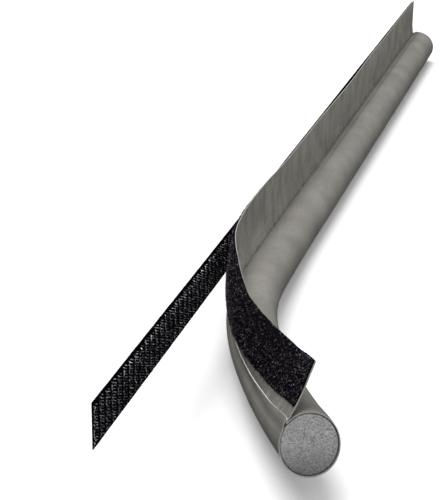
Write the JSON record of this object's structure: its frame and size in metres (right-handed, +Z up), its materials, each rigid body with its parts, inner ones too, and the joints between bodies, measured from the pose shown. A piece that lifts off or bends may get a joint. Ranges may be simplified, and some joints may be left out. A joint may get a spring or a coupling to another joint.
{
  "type": "draught excluder",
  "caption": "Under-door draught excluder: a round foam rod in a coated-cloth cover with a standing flap, gripped by hook-and-loop tape, its near end peeled off and swung out.",
  "frame": {"origin": "the middle of the hook tape's flat adhesive back, on the plane of the door's face", "axes": "+X out of the door's face, +Y along the door away from the peeled end, +Z up"},
  "size_m": [0.1114, 0.94, 0.0745],
  "materials": {
    "cover_cloth": "satin coated cloth",
    "foam": "closed-cell foam, matte",
    "loop_pile": "fuzzy brushed loops",
    "hook_plastic": "moulded hooks on a woven ground"
  },
  "bodies": {
    "root": {"cover": "cover_cloth", "foam_core": "foam", "loop_tape": "loop_pile", "hook_tape": "hook_plastic"}
  },
  "joints": []
}
